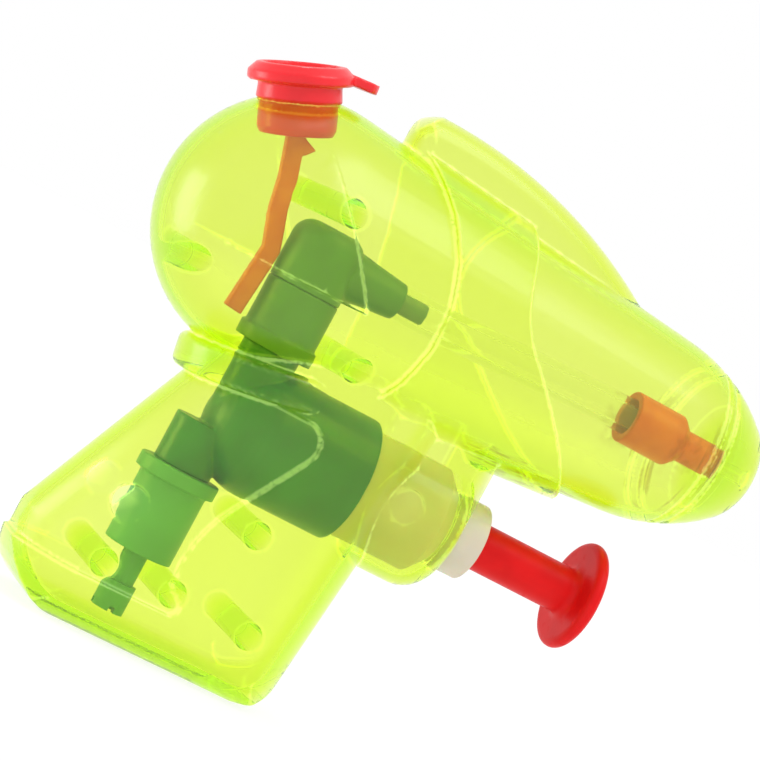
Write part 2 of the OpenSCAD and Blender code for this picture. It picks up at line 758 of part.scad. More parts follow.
module pump_body() {
  way_offset = 4.4;
  color("ForestGreen") difference() {
    union() {
      turn_on_x(pump_z, concat(
        arc([pump_dome_x, 0], pump_body_r, 180, 90, 12),
        [[pump_front_x, pump_body_r], [pump_front_x, 0]]
      ));
      tube_on_z(riser_x, pump_z, riser_foot_z, outlet_foot_d);
      tube_on_z(inlet_x, inlet_top_z, pump_z - 2, inlet_d - 1.4);
    }
    tube_on_x(cylinder_rear_x, pump_front_x + 1, pump_z, cylinder_d + 2 * seat_clearance);
    tube_on_x(chamber_rear_x, pump_front_x, pump_z, cylinder_bore);
    tube_on_z(riser_x, pump_z + way_offset, riser_foot_z + 1, water_bore);
    tube_on_x(riser_x, chamber_rear_x + 1, pump_z + way_offset, water_bore * 0.9);
    tube_on_z(inlet_x, inlet_top_z - 1, pump_z - way_offset, water_bore);
    tube_on_x(inlet_x, chamber_rear_x + 1, pump_z - way_offset, water_bore * 0.9);
  }
}

module inlet_housing() {
  flange = 2;
  color("LimeGreen") difference() {
    union() {
      tube_on_z(inlet_x, inlet_foot_z, inlet_top_z, inlet_d);
      tube_on_z(inlet_x, inlet_top_z - flange, inlet_top_z, inlet_flange_d);
    }
    tube_on_z(inlet_x, inlet_seat_z, inlet_top_z + 1, ball_room_d);
    tube_on_z(inlet_x, inlet_foot_z, inlet_seat_z + 1, water_bore);
    tube_on_z(inlet_x, inlet_foot_z - 1, inlet_foot_z + intake_depth, intake_d + 2 * seat_clearance);
  }
}

module valve_ball(x, seat_z) {
  color("LightSteelBlue") translate([x, 0, seat_z + ball_seat + seat_clearance]) sphere(d = ball_d);
}

module inlet_ball() valve_ball(inlet_x, inlet_seat_z);
module outlet_ball() valve_ball(riser_x, outlet_seat_z);

module intake_tube() {
  color("DarkSeaGreen") difference() {
    tube_on_z(inlet_x, strainer_top_z - intake_depth, inlet_foot_z + intake_depth, intake_d);
    tube_on_z(inlet_x, 0, inlet_top_z, intake_bore);
  }
}

module intake_strainer() {
  slot = 0.8;
  color("SeaGreen") difference() {
    tube_on_z(inlet_x, strainer_foot_z, strainer_top_z, strainer_d);
    tube_on_z(inlet_x, strainer_top_z - intake_depth, strainer_top_z + 1, intake_d + 2 * seat_clearance);
    tube_on_z(inlet_x, strainer_foot_z - 1, strainer_top_z, intake_bore);
    for (turn = [0, 90]) translate([inlet_x, 0, strainer_foot_z]) rotate(turn)
      cube([far / 10, slot, 2 * slot], center = true);
  }
}

module outlet_riser() {
  color("MediumSeaGreen") difference() {
    union() {
      tube_on_z(riser_x, riser_foot_z, elbow_foot_z, riser_d);
      tube_on_z(riser_x, riser_foot_z, riser_foot_z + riser_flange, riser_flange_d);
    }
    tube_on_z(riser_x, outlet_seat_z, elbow_foot_z + 1, ball_room_d);
    tube_on_z(riser_x, riser_foot_z - 1, outlet_seat_z + 1, water_bore);
  }
}

module outlet_elbow() {
  top_round = 2.6;
  top_z = spout_z + spout_d / 2 + 0.5;
  r = riser_d / 2;
  color("SeaGreen") difference() {
    union() {
      translate([riser_x, 0, 0]) rotate_extrude() polygon(concat(
        [[0, elbow_foot_z], [r, elbow_foot_z]],
        arc([r - top_round, top_z - top_round], top_round, 0, 90, 6),
        [[0, top_z]]
      ));
      turn_on_x(spout_z, [
        [riser_x, 0], [riser_x, spout_d / 2], [spout_end_x, hose_d / 2], [spout_end_x, barb_d / 2],
        [barb_end_x, barb_d / 2], [barb_end_x, 0],
      ]);
    }
    tube_on_z(riser_x, elbow_foot_z - 1, spout_z, water_bore);
    tube_on_x(riser_x, barb_end_x + 1, spout_z, barb_d / 2);
  }
}

// The hose leaves the spout level, rises a little and runs level into the nozzle.
function hose_z(x) =
  let (run = nozzle_rear_x - barb_end_x, u = min(max((x - barb_end_x) / run, 0), 1))
  spout_z + spout_drop * u * u * (3 - 2 * u);

function hose_ring(x, d) = [for (b = [0:22.5:337.5]) [x, d / 2 * cos(b), hose_z(x) + d / 2 * sin(b)]];

module delivery_hose() {
  rear_x = spout_end_x + seat_clearance;
  length = hose_front_x - seat_clearance - rear_x;
  stations = [for (i = [0:10]) rear_x + length * i / 10];
  color("Gainsboro") swept(concat(
    [for (x = stations) hose_ring(x, hose_d)], [for (x = reversed(stations)) hose_ring(x, hose_bore)]
  ), true);
}

module nozzle() {
  taper = 1.2;
  color("Orange") difference() {
    turn_on_x(barrel_z, [
      [nozzle_rear_x, 0], [nozzle_rear_x, nozzle_d / 2], [nozzle_front_x - taper, nozzle_d / 2],
      [nozzle_front_x, spigot_d / 2 + 0.4], [nozzle_front_x, spigot_d / 2],
      [spigot_end_x, spigot_d / 2], [spigot_end_x, 0],
    ]);
    tube_on_x(nozzle_rear_x - 1, hose_front_x, barrel_z, hose_d + 2 * seat_clearance);
    tube_on_x(hose_front_x - 1, spigot_end_x + 1, barrel_z, jet_d);
  }
}

right_shell();
left_shell();
fill_cap();
cap_strap();
trigger_plunger();
piston_seal();
return_spring();
pump_cylinder();
pump_body();
inlet_housing();
inlet_ball();
intake_tube();
intake_strainer();
outlet_riser();
outlet_ball();
outlet_elbow();
delivery_hose();
nozzle();
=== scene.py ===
"""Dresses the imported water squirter: clear neon shell, coloured inner pieces, studio and camera."""

import logging
import math
from dataclasses import dataclass
from enum import Enum
from typing import Any, ClassVar, Mapping, Sequence, Union

import bmesh
import bpy
import numpy as np
from mathutils import Matrix, Vector
from mathutils.bvhtree import BVHTree


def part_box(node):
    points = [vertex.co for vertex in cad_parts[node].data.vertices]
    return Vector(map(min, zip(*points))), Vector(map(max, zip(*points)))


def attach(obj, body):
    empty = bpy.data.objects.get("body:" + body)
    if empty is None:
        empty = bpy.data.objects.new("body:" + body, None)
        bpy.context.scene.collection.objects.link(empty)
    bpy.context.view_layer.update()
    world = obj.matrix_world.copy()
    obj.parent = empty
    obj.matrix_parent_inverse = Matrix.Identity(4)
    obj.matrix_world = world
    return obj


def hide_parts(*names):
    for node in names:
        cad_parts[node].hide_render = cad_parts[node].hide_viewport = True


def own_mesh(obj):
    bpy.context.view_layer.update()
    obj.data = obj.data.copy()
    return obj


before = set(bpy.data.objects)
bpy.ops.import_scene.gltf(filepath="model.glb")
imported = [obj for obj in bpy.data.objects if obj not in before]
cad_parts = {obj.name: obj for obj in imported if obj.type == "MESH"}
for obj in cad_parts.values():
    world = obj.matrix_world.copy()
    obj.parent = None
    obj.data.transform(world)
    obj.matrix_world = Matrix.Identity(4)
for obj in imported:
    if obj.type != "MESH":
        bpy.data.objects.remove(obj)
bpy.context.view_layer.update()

LOG = logging.getLogger("squirter")
MM = 0.001
# Point attribute: strength of the painted highlight along sharp edges of the shell.
PAINTED_EDGE_LIGHT = "painted_edge_light"
INNER_SKIN = "inner_skin"

Colour = tuple[float, float, float]
Span = tuple[float, float]
Key = Union[int, str]
Operand = Union["Signal", float]


class Body(Enum):
    """Bodies of the frame that a piece can ride on."""

    SHELL = "shell"
    TRIGGER = "trigger"
    STOPPER = "stopper"
    INLET_VALVE = "inlet_valve"
    OUTLET_VALVE = "outlet_valve"


class Slot(Enum):
    """Material slots of the record."""

    NEON_SHELL = "neon_shell"
    CAP_RED = "cap_red"
    PLUNGER_RED = "plunger_red"
    NATURAL_PLASTIC = "natural_plastic"
    PUMP_GREEN = "pump_green"
    SEAL_RUBBER = "seal_rubber"
    SPRING_STEEL = "spring_steel"
    VALVE_BALL = "valve_ball"
    CLEAR_TUBE = "clear_tube"
    NOZZLE_ORANGE = "nozzle_orange"


class Signal:
    """A shader socket that takes part in Python arithmetic."""

    def __init__(self, board: "Board", socket: bpy.types.NodeSocket) -> None:
        """Keeps the socket and the board that it belongs to."""
        self.board = board
        self.socket = socket

    def _math(self, operation: str, first: Operand, second: Operand = 0.0) -> "Signal":
        """Adds one Math node.

        Args:
            operation: Blender's name of the operation.
            first: Left operand.
            second: Right operand.

        Returns:
            The node's result.
        """
        return self.board.signal("ShaderNodeMath", 0, {"operation": operation}, {0: first, 1: second})

    def __add__(self, other: Operand) -> "Signal":
        """Sum of two values."""
        return self._math("ADD", self, other)

    def __radd__(self, other: Operand) -> "Signal":
        """Sum of two values, reflected."""
        return self._math("ADD", other, self)

    def __sub__(self, other: Operand) -> "Signal":
        """Difference of two values."""
        return self._math("SUBTRACT", self, other)

    def __rsub__(self, other: Operand) -> "Signal":
        """Difference of two values, reflected."""
        return self._math("SUBTRACT", other, self)

    def __mul__(self, other: Operand) -> "Signal":
        """Product of two values."""
        return self._math("MULTIPLY", self, other)

    def __rmul__(self, other: Operand) -> "Signal":
        """Product of two values, reflected."""
        return self._math("MULTIPLY", other, self)

    def __abs__(self) -> "Signal":
        """Size of a value without its sign."""
        return self._math("ABSOLUTE", self)

    def ramp(self, low: float, high: float) -> "Signal":
        """Eases from 0 at one value to 1 at another.

        Args:
            low: Value at which the result is 0.
            high: Value at which the result is 1.

        Returns:
            The eased value.
        """
        settings = {"interpolation_type": "SMOOTHSTEP"}
        return self.board.signal("ShaderNodeMapRange", "Result", settings, {"Value": self, 1: low, 2: high})


class Board:
    """A node tree with one way to add any node."""

    MIX_A = 6
    MIX_B = 7
    MIX_RESULT = 2

    def __init__(self, tree: bpy.types.NodeTree) -> None:
        """Starts from an empty tree."""
        tree.nodes.clear()
        self.tree = tree

    def add(
        self,
        kind: str,
        settings: Mapping[str, Any] | None = None,
        inputs: Mapping[Key, Any] | None = None,
    ) -> bpy.types.Node:
        """Adds a node.

        Args:
            kind: Blender's type name of the node.
            settings: Properties to set before the sockets.
            inputs: Value or link of each socket, by name or number.

        Returns:
            The new node.
        """
        node = self.tree.nodes.new(kind)
        for name, value in (settings or {}).items():
            setattr(node, name, value)
        for key, value in (inputs or {}).items():
            socket = node.inputs[key]
            if isinstance(value, Signal):
                self.tree.links.new(value.socket, socket)
            else:
                socket.default_value = value
        return node

    def signal(
        self,
        kind: str,
        output: Key,
        settings: Mapping[str, Any] | None = None,
        inputs: Mapping[Key, Any] | None = None,
    ) -> Signal:
        """Adds a node and takes one of its outputs.

        Args:
            kind: Blender's type name of the node.
            output: Name or number of the output.
            settings: Properties to set before the sockets.
            inputs: Value or link of each socket, by name or number.

        Returns:
            The chosen output.
        """
        return Signal(self, self.add(kind, settings, inputs).outputs[output])

    def place(self) -> Signal:
        """Object coordinates of the shaded point."""
        return self.signal("ShaderNodeTexCoord", "Object")

    def coordinate(self, axis: str) -> Signal:
        """One object coordinate of the shaded point: X, Y or Z."""
        return self.signal("ShaderNodeSeparateXYZ", axis, None, {0: self.place()})

    def attribute(self, name: str) -> Signal:
        """Value stored at each point of the mesh, 0 where it has none."""
        settings = {"attribute_type": "GEOMETRY", "attribute_name": name}
        return self.signal("ShaderNodeAttribute", "Fac", settings)

    def noise(self, scale: float, detail: float, place: Signal | None = None) -> Signal:
        """Even noise over the piece.

        Args:
            scale: Waves per metre.
            detail: Octaves of finer noise.
            place: Coordinates to use in place of the shaded point's own.

        Returns:
            Values round one half.
        """
        inputs = {"Vector": place or self.place(), "Scale": scale, "Detail": detail}
        return self.signal("ShaderNodeTexNoise", 0, {"noise_dimensions": "3D"}, inputs)

    def blend(self, share: Signal, first: Union[Colour, Signal], second: Colour) -> Signal:
        """Mixes two colours.

        Args:
            share: 0 for the first colour and 1 for the second.
            first: Linear colour, or a colour mixed before.
            second: Linear colour.

        Returns:
            The mixed colour.
        """
        start = first if isinstance(first, Signal) else (*first, 1.0)
        inputs = {0: share, self.MIX_A: start, self.MIX_B: (*second, 1.0)}
        return self.signal("ShaderNodeMix", self.MIX_RESULT, {"data_type": "RGBA"}, inputs)

    def bump(self, height: Signal, depth: float) -> Signal:
        """Turns a height into a normal.

        Args:
            height: Height from 0 to 1.
            depth: Metres that a height of 1 stands for.

        Returns:
            The bent normal.
        """
        inputs = {"Strength": 1.0, "Distance": depth, "Height": height}
        return self.signal("ShaderNodeBump", 0, None, inputs)


@dataclass(frozen=True)
class Finish:
    """What every finish has: a name and a slot of the record."""

    name: str
    slot: Slot

    def surface(self, board: Board) -> dict[str, Any]:
        """Inputs of the Principled shader.

        Args:
            board: Tree to build the inputs in.

        Returns:
            Value or link of each socket.
        """
        raise NotImplementedError

    def volume(self, board: Board) -> Signal | None:
        """What fills the piece, or nothing."""
        return None

    def material(self) -> bpy.types.Material:
        """Builds the material, or gives the one already built.

        Returns:
            The material.
        """
        found = bpy.data.materials.get(self.name)
        if found:
            return found
        made = bpy.data.materials.new(self.name)
        made.use_nodes = True
        board = Board(made.node_tree)
        inputs = {"Surface": board.signal("ShaderNodeBsdfPrincipled", 0, None, self.surface(board))}
        filling = self.volume(board)
        if filling:
            inputs["Volume"] = filling
        board.add("ShaderNodeOutputMaterial", None, inputs)
        return made


@dataclass(frozen=True)
class Stain:
    """Grime that has settled in fine streaks over a patch seen from the side.

    Attributes:
        x: Middle of the patch along the barrel.
        z: Middle of the patch in height.
        half_x: Half of the patch's length.
        half_z: Half of the patch's height.
        streak: Streaks per metre along X, Y and Z.
        share: Most that the grime covers.
    """

    CORE_X: ClassVar[float] = 0.6
    CORE_Z: ClassVar[float] = 0.5
    STREAK_DETAIL: ClassVar[float] = 3.0
    STREAK_SPAN: ClassVar[Span] = (0.48, 0.62)

    x: float
    z: float
    half_x: float
    half_z: float
    streak: tuple[float, float, float]
    share: float

    def mask(self, board: Board) -> Signal:
        """Strength of the grime over the piece.

        Args:
            board: Tree to build in.

        Returns:
            0 on clean plastic, up to the stain's share.
        """
        far_x = abs(board.coordinate("X") - self.x).ramp(self.CORE_X * self.half_x, self.half_x)
        far_z = abs(board.coordinate("Z") - self.z).ramp(self.CORE_Z * self.half_z, self.half_z)
        patch = (1 - far_x) * (1 - far_z)
        stretched = {0: board.place(), 1: self.streak}
        drawn = board.signal("ShaderNodeVectorMath", 0, {"operation": "MULTIPLY"}, stretched)
        streaks = board.noise(1.0, self.STREAK_DETAIL, drawn).ramp(*self.STREAK_SPAN)
        return patch * streaks * self.share


@dataclass(frozen=True)
class ClearPlastic(Finish):
    """Clear moulded plastic that takes its colour from its skins and from the depth that light crosses.

    Attributes:
        tint: Colour that each skin gives to light.
        absorbed: Share of red, green and blue that the wall takes away.
        density: Strength of that, per metre.
        ior: Refractive index, low because the wall is thin and even.
        gloss: Weight of the glossy coat on the outer skin.
        haze: Roughness of that coat.
        roughness: Roughness of the plastic under it.
        painted_light: Painted glow, emission all over the plastic, though it is no lamp.
        painted_edge_light: Painted highlight, the same emission brighter along sharp edges.
        wave_size: Length of the waves left by the mould.
        wave_depth: Depth of those waves.
        seam_width: Half the width of the groove on the middle plane, or 0 for none.
        stains: Patches of grime.
    """

    GRIME: ClassVar[Colour] = (0.42, 0.27, 0.06)
    WAVE_DETAIL: ClassVar[float] = 1.0
    SCUFFS_A_WAVE: ClassVar[float] = 7.0
    SCUFF_DETAIL: ClassVar[float] = 4.0
    SCUFF_SPAN: ClassVar[Span] = (0.58, 0.76)
    SCUFF_SHADE: ClassVar[float] = 0.97
    SCUFF_ROUGHNESS: ClassVar[float] = 0.05
    SEAM_FLOOR: ClassVar[float] = 0.3
    SEAM_HEIGHT: ClassVar[float] = 0.2
    # Painted edge highlight: eased in over this span of the edge mark, at this share on the inner skin.
    EDGE_SPAN: ClassVar[Span] = (0.05, 0.85)
    INNER_EDGE: ClassVar[float] = 0.4

    tint: Colour
    absorbed: Colour
    density: float
    ior: float
    gloss: float
    haze: float
    roughness: float
    painted_light: Colour
    painted_edge_light: Colour
    wave_size: float
    wave_depth: float
    seam_width: float = 0.0
    stains: tuple[Stain, ...] = ()

    def surface(self, board: Board) -> dict[str, Any]:
        """Inputs of the Principled shader.

        Args:
            board: Tree to build the inputs in.

        Returns:
            Value or link of each socket.
        """
        height = board.noise(1 / self.wave_size, self.WAVE_DETAIL)
        scuffs = board.noise(self.SCUFFS_A_WAVE / self.wave_size, self.SCUFF_DETAIL).ramp(*self.SCUFF_SPAN)
        if self.seam_width:
            seam = abs(board.coordinate("Y")).ramp(self.SEAM_FLOOR * self.seam_width, self.seam_width)
            height = height + seam * self.SEAM_HEIGHT
        outer = 1 - board.attribute(INNER_SKIN)
        # Painted highlight along sharp edges, weaker on the inner skin.
        lit = self.INNER_EDGE + (1 - self.INNER_EDGE) * outer
        edges = board.attribute(PAINTED_EDGE_LIGHT).ramp(*self.EDGE_SPAN) * lit
        scuffed: Colour = tuple(self.SCUFF_SHADE * part for part in self.tint)
        colour = board.blend(scuffs, self.tint, scuffed)
        for stain in self.stains:
            colour = board.blend(stain.mask(board), colour, self.GRIME)
        return {
            "Base Color": colour,
            "Roughness": self.roughness + scuffs * self.SCUFF_ROUGHNESS,
            "IOR": self.ior,
            "Transmission Weight": 1.0,
            "Coat Weight": self.gloss * outer,
            "Coat Roughness": self.haze,
            # Painted glow all over, brighter as a painted highlight along sharp edges.
            "Emission Color": board.blend(edges, self.painted_light, self.painted_edge_light),
            "Emission Strength": 1.0,
            "Normal": board.bump(height, self.wave_depth),
        }

    def volume(self, board: Board) -> Signal:
        """Absorption that deepens with the way through the wall."""
        kept = tuple(1 - share for share in self.absorbed)
        inputs = {"Color": (*kept, 1.0), "Density": self.density}
        return board.signal("ShaderNodeVolumeAbsorption", 0, None, inputs)


@dataclass(frozen=True)
class MouldedPlastic(Finish):
    """Opaque moulded plastic with flow marks and a fine grain.

    Attributes:
        colour: Main colour.
        streak: Colour of the flow marks.
        roughness: Roughness where the plastic isn't worn.
        flow_size: Length of the flow marks.
        grain_depth: Depth of the fine grain.
        shine: Specular level.
        soft: Share of light that goes into the plastic and out again.
        coat: Weight of a polished coat.
    """

    FLOW_DETAIL: ClassVar[float] = 3.0
    FLOW_SPAN: ClassVar[Span] = (0.34, 0.68)
    GRAINS_A_FLOW: ClassVar[float] = 14.0
    GRAIN_DETAIL: ClassVar[float] = 3.0
    WORN_A_FLOW: ClassVar[float] = 5.0
    WORN_DETAIL: ClassVar[float] = 4.0
    WORN_SPAN: ClassVar[Span] = (0.55, 0.72)
    WORN_ROUGHNESS: ClassVar[float] = 0.14
    SOFT_DEPTH: ClassVar[float] = 2 * MM

    colour: Colour
    streak: Colour
    roughness: float
    flow_size: float
    grain_depth: float
    shine: float = 0.5
    soft: float = 0.0
    coat: float = 0.0

    def surface(self, board: Board) -> dict[str, Any]:
        """Inputs of the Principled shader.

        Args:
            board: Tree to build the inputs in.

        Returns:
            Value or link of each socket.
        """
        flow = board.noise(1 / self.flow_size, self.FLOW_DETAIL).ramp(*self.FLOW_SPAN)
        grain = board.noise(self.GRAINS_A_FLOW / self.flow_size, self.GRAIN_DETAIL)
        worn = board.noise(self.WORN_A_FLOW / self.flow_size, self.WORN_DETAIL).ramp(*self.WORN_SPAN)
        return {
            "Base Color": board.blend(flow, self.colour, self.streak),
            "Roughness": self.roughness + worn * self.WORN_ROUGHNESS,
            "Specular IOR Level": self.shine,
            "Subsurface Weight": self.soft,
            "Subsurface Scale": self.SOFT_DEPTH,
            "Coat Weight": self.coat,
            "Normal": board.bump(grain, self.grain_depth),
        }


@dataclass(frozen=True)
class DrawnWire(Finish):
    """Bright wire with fine marks from drawing."""

    MARKS_A_METRE: ClassVar[float] = 2600.0
    MARK_DETAIL: ClassVar[float] = 4.0
    MARK_SPAN: ClassVar[Span] = (0.4, 0.7)
    MARK_ROUGHNESS: ClassVar[float] = 0.18
    MARK_DEPTH: ClassVar[float] = 0.01 * MM

    colour: Colour
    dull: Colour
    roughness: float

    def surface(self, board: Board) -> dict[str, Any]:
        """Inputs of the Principled shader.

        Args:
            board: Tree to build the inputs in.

        Returns:
            Value or link of each socket.
        """
        marks = board.noise(self.MARKS_A_METRE, self.MARK_DETAIL).ramp(*self.MARK_SPAN)
        return {
            "Base Color": board.blend(marks, self.colour, self.dull),
            "Roughness": self.roughness + marks * self.MARK_ROUGHNESS,
            "Metallic": 1.0,
            "Normal": board.bump(marks, self.MARK_DEPTH),
        }


NEON = ClearPlastic(
    name="neon_clear", slot=Slot.NEON_SHELL, tint=(0.885, 0.905, 0.63), absorbed=(0.086, 0.01, 1.0),
    density=350.0, ior=1.03, gloss=0.9, haze=0.26, roughness=0.02,
    # Painted glow all over, with a brighter painted highlight along sharp edges.
    painted_light=(0.018, 0.028, 0.004), painted_edge_light=(0.24, 0.34, 0.09), wave_size=13 * MM, wave_depth=0.08 * MM,
    seam_width=0.35 * MM, stains=(
        Stain(
            x=55.4 * MM, z=54 * MM, half_x=0.7 * MM, half_z=10 * MM,
            streak=(700.0, 110.0, 110.0), share=0.75,
        ),
        Stain(
            x=57.3 * MM, z=53 * MM, half_x=0.5 * MM, half_z=9.5 * MM,
            streak=(700.0, 90.0, 90.0), share=0.85,
        ),
        Stain(
            x=51.5 * MM, z=56 * MM, half_x=2.6 * MM, half_z=4.5 * MM,
            streak=(420.0, 420.0, 420.0), share=0.35,
        ),
        Stain(
            x=38.5 * MM, z=43.2 * MM, half_x=8 * MM, half_z=1.9 * MM,
            streak=(180.0, 700.0, 1500.0), share=0.75,
        ),
    ),
)
CLEAR_TUBE = ClearPlastic(
    name="tube_clear", slot=Slot.CLEAR_TUBE, tint=(0.93, 0.93, 0.9), absorbed=(0.18, 0.12, 0.30),
    density=120.0, ior=1.05, gloss=0.4, haze=0.25, roughness=0.12,
    # Painted glow that lightens the hose where it lies in shade.
    painted_light=(0.03, 0.034, 0.012), painted_edge_light=(0.03, 0.034, 0.012), wave_size=8 * MM, wave_depth=0.05 * MM,
)
CAP_RED = MouldedPlastic(
    name="cap_red_soft", slot=Slot.CAP_RED, colour=(0.96, 0.016, 0.026), streak=(0.88, 0.012, 0.02),
    roughness=0.28, flow_size=6 * MM, grain_depth=0.01 * MM, shine=0.45,
)
STRAP_RED = MouldedPlastic(
    name="strap_red_soft", slot=Slot.CAP_RED, colour=(0.86, 0.2, 0.026), streak=(0.78, 0.13, 0.02),
    roughness=0.36, flow_size=3 * MM, grain_depth=0.02 * MM, shine=0.4,
)
PLUNGER_RED = MouldedPlastic(
    name="plunger_red_hard", slot=Slot.PLUNGER_RED, colour=(0.8, 0.007, 0.008), streak=(0.7, 0.005, 0.006),
    roughness=0.4, flow_size=7 * MM, grain_depth=0.01 * MM, shine=0.15,
)
NATURAL = MouldedPlastic(
    name="natural_milky", slot=Slot.NATURAL_PLASTIC, colour=(0.76, 0.69, 0.57), streak=(0.71, 0.64, 0.52),
    roughness=0.42, flow_size=8 * MM, grain_depth=0.02 * MM, soft=0.3,
)
PUMP_GREEN = MouldedPlastic(
    name="pump_green_dull", slot=Slot.PUMP_GREEN, colour=(0.012, 0.17, 0.065), streak=(0.022, 0.23, 0.09),
    roughness=0.3, flow_size=9 * MM, grain_depth=0.003 * MM,
)
RISER_GREEN = MouldedPlastic(
    name="riser_green_dull", slot=Slot.PUMP_GREEN, colour=(0.085, 0.22, 0.1), streak=(0.1, 0.27, 0.12),
    roughness=0.36, flow_size=9 * MM, grain_depth=0.003 * MM,
)
INLET_GREEN = MouldedPlastic(
    name="inlet_green_dull", slot=Slot.PUMP_GREEN, colour=(0.1, 0.37, 0.21), streak=(0.12, 0.44, 0.25),
    roughness=0.36, flow_size=9 * MM, grain_depth=0.003 * MM,
)
SEAL_RUBBER = MouldedPlastic(
    name="seal_black", slot=Slot.SEAL_RUBBER, colour=(0.02, 0.02, 0.02), streak=(0.035, 0.035, 0.035),
    roughness=0.6, flow_size=3 * MM, grain_depth=0.02 * MM,
)
VALVE_BALL = MouldedPlastic(
    name="ball_polished", slot=Slot.VALVE_BALL, colour=(0.8, 0.82, 0.84), streak=(0.7, 0.72, 0.75),
    roughness=0.16, flow_size=3 * MM, grain_depth=0.005 * MM, coat=0.4,
)
NOZZLE_ORANGE = MouldedPlastic(
    name="nozzle_orange_hard", slot=Slot.NOZZLE_ORANGE, colour=(0.85, 0.16, 0.02),
    streak=(0.75, 0.11, 0.014), roughness=0.36, flow_size=5 * MM, grain_depth=0.03 * MM,
)
SPRING_STEEL = DrawnWire(
    name="spring_bright", slot=Slot.SPRING_STEEL, colour=(0.72, 0.72, 0.74), dull=(0.5, 0.5, 0.52),
    roughness=0.25,
)


def link(mesh: bpy.types.Mesh, name: str) -> bpy.types.Object:
    """Puts a mesh into the scene as an object at the origin.

    Args:
        mesh: Mesh in the row frame.
        name: Name of the piece.

    Returns:
        The new object.
    """
    piece = bpy.data.objects.new(name, mesh)
    bpy.context.scene.collection.objects.link(piece)
    return piece


def freeze(piece: bpy.types.Object) -> None:
    """Turns a piece's modifiers into a plain mesh.

    Args:
        piece: Piece whose modifiers are applied and taken off.
    """
    graph = bpy.context.evaluated_depsgraph_get()
    mesh = bpy.data.meshes.new_from_object(piece.evaluated_get(graph), depsgraph=graph)
    piece.modifiers.clear()
    old = piece.data
    piece.data = mesh
    bpy.data.meshes.remove(old)
    mesh.name = piece.name


def dress(piece: bpy.types.Object, finish: Finish) -> None:
    """Gives a piece one finish all over."""
    piece.data.materials.clear()
    piece.data.materials.append(finish.material())


def joined_copy(nodes: Sequence[str]) -> bmesh.types.BMesh:
    """Copies solids of the frame into one welded mesh.

    Args:
        nodes: Names of the solids.

    Returns:
        The welded mesh.
    """
    weld = 0.002 * MM
    work = bmesh.new()
    for name in nodes:
        work.from_mesh(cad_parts[name].data)
    bmesh.ops.remove_doubles(work, verts=work.verts, dist=weld)
    return work


def island(start: bmesh.types.BMFace) -> set[bmesh.types.BMFace]:
    """Finds all faces that hang together with one.

    Args:
        start: Any face of the island.

    Returns:
        The island's faces.
    """
    found = {start}
    waiting = [start]
    while waiting:
        face = waiting.pop()
        for vert in face.verts:
            for other in vert.link_faces:
                if other not in found:
                    found.add(other)
                    waiting.append(other)
    return found


def keep_largest(work: bmesh.types.BMesh) -> None:
    """Takes out all faces that don't hang together with the largest island.

    Args:
        work: Mesh to clear.
    """
    left = set(work.faces)
    largest: set[bmesh.types.BMFace] = set()
    while left:
        found = island(next(iter(left)))
        left -= found
        if len(found) > len(largest):
            largest = found
    spare = [f for f in work.faces if f not in largest]
    bmesh.ops.delete(work, geom=spare, context="FACES")


def drop_crumbs(mesh: bpy.types.Mesh) -> None:
    """Takes out the loose faces that thinning leaves behind.

    Args:
        mesh: Thinned mesh.
    """
    work = bmesh.new()
    work.from_mesh(mesh)
    keep_largest(work)
    work.to_mesh(mesh)
    work.free()


def mark_edges(mesh: bpy.types.Mesh, calm: float, sharp: float) -> None:
    """Stores how sharply the skin bends at each point, as the mask of the painted highlight along edges.

    The bend is compared with its own blur, so that only the middle line of each edge stands out.

    Args:
        mesh: Mesh to mark.
        calm: Bend per metre at which an edge starts to show.
        sharp: Bend per metre at which it shows in full.
    """
    passes = 5
    blur_share = 0.7
    least_square = 1e-12
    count = len(mesh.vertices)
    places = np.empty(3 * count, dtype=np.float32)
    mesh.vertices.foreach_get("co", places)
    places = places.reshape(-1, 3)
    normals = np.empty(3 * count, dtype=np.float32)
    mesh.vertex_normals.foreach_get("vector", normals)
    normals = normals.reshape(-1, 3)
    ends = np.empty(2 * len(mesh.edges), dtype=np.int32)
    mesh.edges.foreach_get("vertices", ends)
    first, second = ends.reshape(-1, 2).T
    way = places[first] - places[second]
    square = np.maximum((way**2).sum(axis=1), least_square)
    bend = np.abs(((normals[first] - normals[second]) * way).sum(axis=1)) / square
    shares = np.maximum(np.bincount(ends, minlength=count), 1)
    value = np.bincount(first, bend, count) + np.bincount(second, bend, count)
    value /= shares
    wide = value
    for step in range(passes):
        around = np.bincount(first, wide[second], count) + np.bincount(second, wide[first], count)
        wide = (wide + around) / (1 + shares)
        if step == 0:
            value = wide
    ridge = value - blur_share * wide
    shown = np.clip((ridge - calm) / (sharp - calm), 0.0, 1.0).astype(np.float32)
    mesh.attributes.new(PAINTED_EDGE_LIGHT, "FLOAT", "POINT").data.foreach_set("value", shown)


def mark_inner(mesh: bpy.types.Mesh) -> None:
    """Stores 1 at each point of a hollow piece that can't see out, and 0 elsewhere.

    Args:
        mesh: Mesh to mark.
    """
    lift = 0.05 * MM
    lean = 0.8
    least_open = 2
    places = [v.co.copy() for v in mesh.vertices]
    solid = BVHTree.FromPolygons(places, [tuple(f.vertices) for f in mesh.polygons])
    inner = np.zeros(len(places), dtype=np.float32)
    for i, place in enumerate(places):
        normal = mesh.vertex_normals[i].vector
        across = normal.orthogonal().normalized()
        beside = normal.cross(across)
        leans = (Vector(), across, -across, beside, -beside)
        start = place + lift * normal
        opened = 0
        for offset in leans:
            opened += solid.ray_cast(start, normal + lean * offset)[0] is None
            if opened == least_open:
                break
        inner[i] = opened < least_open
    mesh.attributes.new(INNER_SKIN, "FLOAT", "POINT").data.foreach_set("value", inner)


